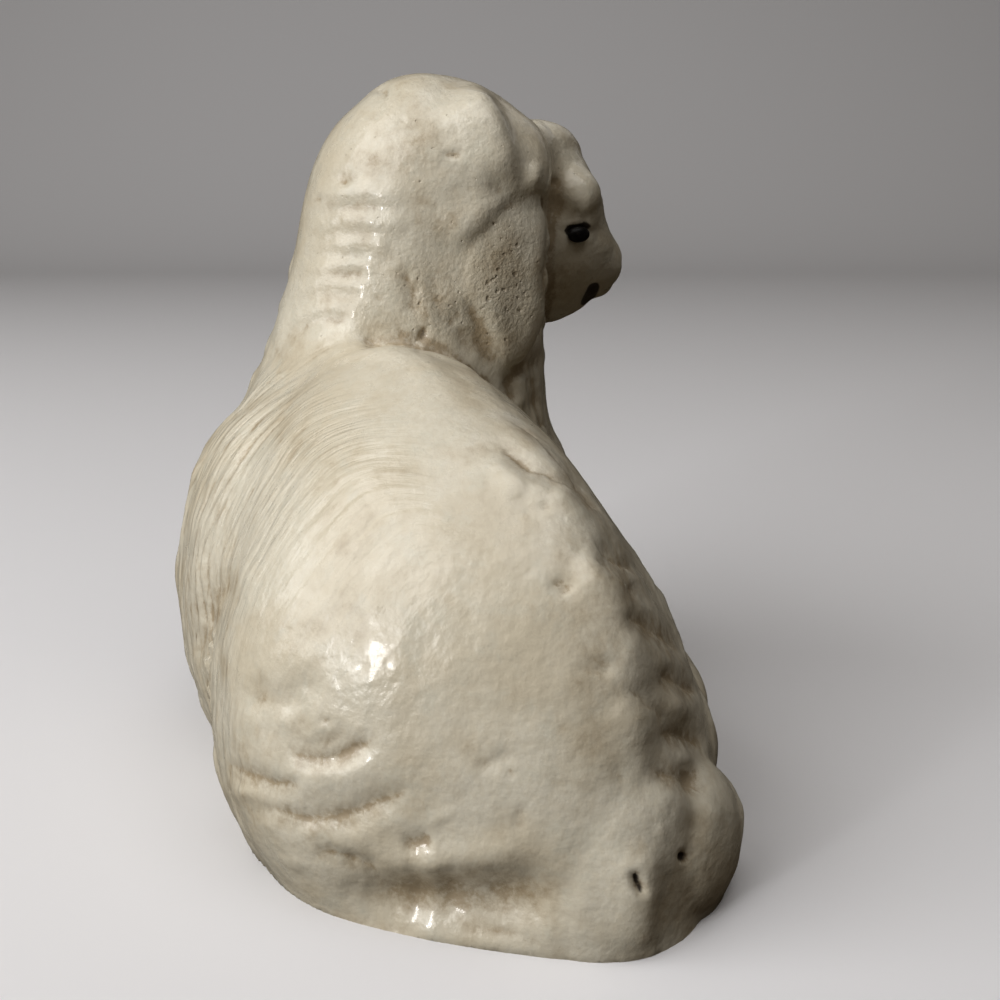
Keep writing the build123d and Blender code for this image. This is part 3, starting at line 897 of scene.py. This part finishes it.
def cream_glaze():
    """Ivory glaze, mottled, with the brown wash that stays in the hollows after wiping, darkened further
    in hollows and grooves as painted shade, and black ink for the painted lines of the face and for
    painted shade in the slot, pits and nicks.
    """
    nodes = Nodes("cream_glaze")
    place = nodes.place()
    wash_and_shade = nodes.attribute("wash_and_shade")
    ink_and_shade = nodes.attribute("ink_and_shade")
    pitted = nodes.attribute("pitted")
    woolly = nodes.attribute("woolly")
    flow = nodes.attribute("flow", "Vector")
    cloud = nodes.noise(place, 0.10, 4.0, 0.6)
    patch = nodes.noise(place, 0.31, 4.0, 0.6)
    speck = nodes.noise(place, 1.5, 4.0, 0.65)
    strand = nodes.noise(flow, 1.0, 2.0, 0.5)
    base = nodes.blend(nodes.span(cloud, 0.36, 0.64), cream_light, cream_deep)
    base = nodes.blend(nodes.span(patch, 0.50, 0.70, 0.0, 0.6), base, cream_cool)
    base = nodes.blend(nodes.span(speck, 0.36, 0.70, 0.0, 0.42), base, cream_deep)
    broken = nodes.span(nodes.noise(place, 0.85, 6.0, 0.75), 0.32, 0.70, 0.35, 1.3)
    stain_and_shade = nodes.math("MULTIPLY", wash_and_shade, broken)
    lines = nodes.math("MULTIPLY", nodes.span(strand, 0.50, 0.72, 0.0, 0.32), woolly)
    smudge = nodes.span(nodes.noise(place, 0.20, 6.0, 0.72), 0.48, 0.74, 0.0, 0.36)
    stain_and_shade = nodes.math("ADD", nodes.math("ADD", stain_and_shade, lines), smudge)
    # The brown wash, with painted shade in hollows, grooves and shadowed patches.
    base = nodes.blend(nodes.span(stain_and_shade, 0.0, 0.85, 0.0, 0.76), base, brown_wash_and_shade)
    pit_cells = nodes.add("ShaderNodeTexVoronoi", Vector=place, Scale=0.95)
    pit_patch = nodes.span(nodes.noise(place, 0.8, 3.0, 0.6), 0.36, 0.66)
    pit_size = nodes.math("MULTIPLY", nodes.math("MULTIPLY", pitted, pit_patch), 0.40)
    pits = nodes.span(nodes.math("SUBTRACT", pit_size, pit_cells.outputs["Distance"]), -0.05, 0.28)
    base = nodes.blend(nodes.math("MULTIPLY", pits, 0.3), base, brown_wash_and_shade)
    # Black ink: painted lines of the face, and painted shade in the slot, pits and nicks.
    base = nodes.blend(nodes.span(ink_and_shade, 0.25, 0.75, 0.0, 0.95), base, black_ink_and_shade)
    rough = nodes.span(nodes.noise(place, 0.4, 4.0, 0.6), 0.32, 0.70, 0.24, 0.42)
    rough = nodes.math("ADD", rough, nodes.math("MULTIPLY", wash_and_shade, 0.22))
    swell = nodes.noise(place, 0.30, 2.0, 0.5)
    orange_peel = nodes.noise(place, 1.3, 3.0, 0.5)
    bump = nodes.bump(swell, 0.22)
    bump = nodes.bump(orange_peel, 0.07, bump)
    bump = nodes.bump(nodes.math("MULTIPLY", strand, woolly), 0.34, bump)
    grain = nodes.noise(place, 2.0, 3.0, 0.6)
    bump = nodes.bump(nodes.math("MULTIPLY", grain, pitted), 0.22, bump)
    bump = nodes.bump(nodes.math("MULTIPLY", pits, -1.0), 0.2, bump)
    shader = nodes.add("ShaderNodeBsdfPrincipled")
    nodes.set(shader, "Base Color", base)
    nodes.set(shader, "Roughness", rough)
    nodes.set(shader, "Normal", bump)
    nodes.set(shader, "IOR", 1.5)
    nodes.set(shader, "Coat Weight", nodes.span(ink_and_shade, 0.2, 0.7, 0.4, 0.0))
    nodes.set(shader, "Specular IOR Level", nodes.span(ink_and_shade, 0.2, 0.7, 0.5, 0.1))
    nodes.set(shader, "Coat Roughness", 0.10)
    nodes.set(shader, "Coat Normal", nodes.bump(swell, 0.20))
    return nodes.finish(shader)


def black_enamel():
    """Glossy black enamel with faint brush marks."""
    nodes = Nodes("black_enamel")
    place = nodes.place()
    streak = nodes.noise(place, 2.4, 3.0, 0.6)
    base = nodes.blend(nodes.span(streak, 0.35, 0.7), enamel_dark, enamel_light)
    shader = nodes.add("ShaderNodeBsdfPrincipled")
    nodes.set(shader, "Base Color", base)
    nodes.set(shader, "Roughness", nodes.span(streak, 0.3, 0.7, 0.3, 0.45))
    nodes.set(shader, "Normal", nodes.bump(streak, 0.05))
    nodes.set(shader, "Specular IOR Level", 0.12)
    return nodes.finish(shader)


def bare_clay():
    """The unglazed inside of the castings."""
    nodes = Nodes("bare_clay")
    place = nodes.place()
    cloud = nodes.noise(place, 0.25, 4.0, 0.6)
    base = nodes.blend(nodes.span(cloud, 0.35, 0.65), clay_light, clay_dark)
    shader = nodes.add("ShaderNodeBsdfPrincipled")
    nodes.set(shader, "Base Color", base)
    nodes.set(shader, "Roughness", nodes.span(cloud, 0.3, 0.7, 0.7, 0.9))
    nodes.set(shader, "Normal", nodes.bump(nodes.noise(place, 1.2, 4.0, 0.6), 0.2))
    return nodes.finish(shader)


glaze = cream_glaze()
enamel = black_enamel()
clay = bare_clay()


def make_piece(name, node, material, piece_points, faces, piece_normals, fields):
    """A piece of the figure from arrays in millimetres, with its own normals and named fields."""
    mesh = bpy.data.meshes.new(name)
    mesh.from_pydata(piece_points * MM, [], faces)
    mesh.polygons.foreach_set("use_smooth", np.ones(len(mesh.polygons), bool))
    for field, values in fields.items():
        if values.ndim == 1:
            made = mesh.attributes.new(field, "FLOAT", "POINT")
            made.data.foreach_set("value", values)
        else:
            made = mesh.attributes.new(field, "FLOAT_VECTOR", "POINT")
            made.data.foreach_set("vector", values.ravel())
    mesh.normals_split_custom_set_from_vertices(piece_normals.tolist())
    mesh.materials.append(material)
    piece = bpy.data.objects.new(name, mesh)
    bpy.context.scene.collection.objects.link(piece)
    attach(piece, "root")
    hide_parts(node)


strand_field = np.stack([flow / strand_pitch, turn_round / strand_turn, over_joint / strand_rise], 1)
all_fields = {"wash_and_shade": wash_and_shade, "ink_and_shade": ink_and_shade, "pitted": pitted, "woolly": woolly, "flow": strand_field}


def skin(name, node, chosen):
    """The piece of the skin that stands for one solid."""
    used, own_faces = np.unique(quads[chosen], return_inverse=True)
    own_faces = own_faces.reshape(-1, 4)
    fields = {field: values[used] for field, values in all_fields.items()}
    make_piece(name, node, glaze, points[used], own_faces, normals[used], fields)


def plain_fields(count):
    """Fields of a surface that has no wool and little wash, and no painted shade."""
    fields = {field: np.zeros(count) for field in ("wash_and_shade", "ink_and_shade", "pitted", "woolly")}
    fields["flow"] = np.zeros((count, 3))
    return fields


def flat_sole():
    """The underside in few faces, with its own corners, so that its edge stays crisp."""
    on_sole = sole[quads].all(1)
    sides = np.vstack([quads[on_sole][:, [k, (k + 1) % 4]] for k in range(4)])
    _, first, counts = np.unique(np.sort(sides, axis=1), axis=0, return_index=True, return_counts=True)
    rim = sides[first[counts == 1]]
    used, rim = np.unique(rim, return_inverse=True)
    rim = rim.reshape(-1, 2)
    corners = points[used, :2]
    turn = np.linspace(0, 2 * pi, hole_sides, endpoint=False)
    ring = np.stack([np.cos(turn), np.sin(turn)], 1) * hole_radius + hole_place
    ring_sides = np.stack([np.arange(hole_sides), np.roll(np.arange(hole_sides), -1)], 1) + len(corners)
    flat = [Vector(corner) for corner in np.vstack([corners, ring]).tolist()]
    cut = delaunay_2d_cdt(flat, np.vstack([rim, ring_sides]).tolist(), [], 2, 1e-4)
    made = np.array([[corner.x, corner.y, 0.0] for corner in cut[0]])
    faces = [face[::-1] for face in cut[2]]
    down_normals = np.tile((0.0, 0.0, -1.0), (len(made), 1))
    make_piece("sole", "body", glaze, made, faces, down_normals, plain_fields(len(made)))
    return on_sole


def lining(name, node):
    """The bare clay inside one hollow casting: the solid's own faces, well under the glaze."""
    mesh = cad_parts[node].data
    solid_points, faces = mesh_arrays(mesh)
    middles = solid_points[faces].mean(1)
    tree = BVHTree.FromPolygons(points.tolist(), quads.tolist())
    depth = np.array([tree.find_nearest(middle)[3] for middle in middles.tolist()])
    beside_hole = np.hypot(*(middles[:, :2] - hole_place).T)
    wall = (beside_hole < hole_radius + 0.2) & (middles[:, 2] < plug_height) & (middles[:, 2] > 0.02)
    used, own_faces = np.unique(faces[(depth > lining_depth) | wall], return_inverse=True)
    own_faces = own_faces.reshape(-1, 3)
    corner_normals = mesh_normals(mesh)[used]
    make_piece(name, node, clay, solid_points[used], own_faces, corner_normals, {})


on_sole = flat_sole()
for number, name in enumerate(piece_names):
    skin(f"{name}_skin", name, (quad_region == number) & ~on_sole)
lining("body_lining", "body")
lining("head_lining", "head")

for name in ("left_eye", "right_eye"):
    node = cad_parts[name]
    node.data.materials.clear()
    node.data.materials.append(enamel)


def floor_and_backdrop():
    """A pale floor that curves up into a pale wall. Lengths are metres."""
    depth_behind, depth_before, half_span = 0.55, 0.6, 1.4
    bend, wall_top, steps = 0.25, 1.2, 12
    profile = [(-depth_before, 0.0), (depth_behind, 0.0)]
    for step in range(1, steps + 1):
        angle = pi / 2 * step / steps
        profile.append((depth_behind + bend * sin(angle), bend * (1 - cos(angle))))
    profile.append((depth_behind + bend, wall_top))
    rows = []
    for ahead, height in profile:
        middle = Vector((cos(yaw), sin(yaw), 0)) * ahead + Vector((0, 0, height))
        side = Vector((-sin(yaw), cos(yaw), 0)) * half_span
        rows.append((middle - side, middle + side))
    corners = [corner for row in rows for corner in row]
    faces = [(2 * n, 2 * n + 2, 2 * n + 3, 2 * n + 1) for n in range(len(rows) - 1)]
    mesh = bpy.data.meshes.new("floor")
    mesh.from_pydata(corners, [], faces)
    mesh.polygons.foreach_set("use_smooth", np.ones(len(mesh.polygons), bool))
    floor = bpy.data.objects.new("floor", mesh)
    bpy.context.scene.collection.objects.link(floor)
    nodes = Nodes("floor_paper")
    path = nodes.tree.nodes.new("ShaderNodeLightPath")
    base = nodes.blend(path.outputs["Is Camera Ray"], floor_bounce, floor_shown)
    shader = nodes.add("ShaderNodeBsdfDiffuse")
    nodes.set(shader, "Color", base)
    mesh.materials.append(nodes.finish(shader))


lamp_aim_height = 0.035


def lamp(name, direction, distance, size, power, colour, height=None):
    """A soft lamp that points at the figurine's middle."""
    light = bpy.data.lights.new(name, "AREA")
    light.shape = "RECTANGLE"
    light.size = size
    light.size_y = height or size
    light.energy = power
    light.color = colour
    holder = bpy.data.objects.new(name, light)
    aim = Vector((0, 0, lamp_aim_height))
    holder.location = aim + Vector(unit(direction)) * distance
    holder.rotation_euler = (aim - holder.location).to_track_quat("-Z", "Y").to_euler()
    bpy.context.scene.collection.objects.link(holder)


def camera():
    """The camera that took the picture."""
    data = bpy.data.cameras.new("camera")
    data.sensor_width = sensor_width
    data.lens = sensor_width * focal_pixels / picture_side
    data.clip_start = 0.01
    data.clip_end = 10
    holder = bpy.data.objects.new("camera", data)
    rotation = Matrix(np.stack([look_right, look_up, -look_ahead], 1).tolist()).to_4x4()
    holder.matrix_world = Matrix.Translation(Vector(camera_place) * MM) @ rotation
    bpy.context.scene.collection.objects.link(holder)
    bpy.context.scene.camera = holder


def surroundings():
    """Even, faint light from all round, behind which the camera sees a pale grey."""
    world = bpy.data.worlds.new("studio")
    world.use_nodes = True
    tree = world.node_tree
    back = tree.nodes["Background"]
    path = tree.nodes.new("ShaderNodeLightPath")
    pale = tree.nodes.new("ShaderNodeBackground")
    pale.inputs["Color"].default_value = world_shown
    mixed = tree.nodes.new("ShaderNodeMixShader")
    back.inputs["Color"].default_value = world_light
    back.inputs["Strength"].default_value = 0.042
    tree.links.new(path.outputs["Is Camera Ray"], mixed.inputs[0])
    tree.links.new(back.outputs[0], mixed.inputs[1])
    tree.links.new(pale.outputs[0], mixed.inputs[2])
    tree.links.new(mixed.outputs[0], tree.nodes["World Output"].inputs["Surface"])
    bpy.context.scene.world = world


floor_and_backdrop()
camera()
surroundings()
# Each lamp's direction, distance and size in metres, power in watts and colour.
lamp("key", (-0.15, 0.81, 0.56), 0.60, 0.62, 3.6, (1.0, 0.985, 0.96))
lamp("top", (-0.22, -0.06, 0.97), 0.6, 0.5, 1.3, (1.0, 0.97, 0.93))
lamp("front", (0.86, -0.42, 0.30), 0.9, 0.9, 0.9, (1.0, 0.97, 0.93))
lamp("spark", (-0.52, 0.82, 0.17), 0.5, 0.045, 0.40, (1.0, 0.99, 0.97), 0.08)

bpy.context.scene.view_settings.view_transform = "Standard"
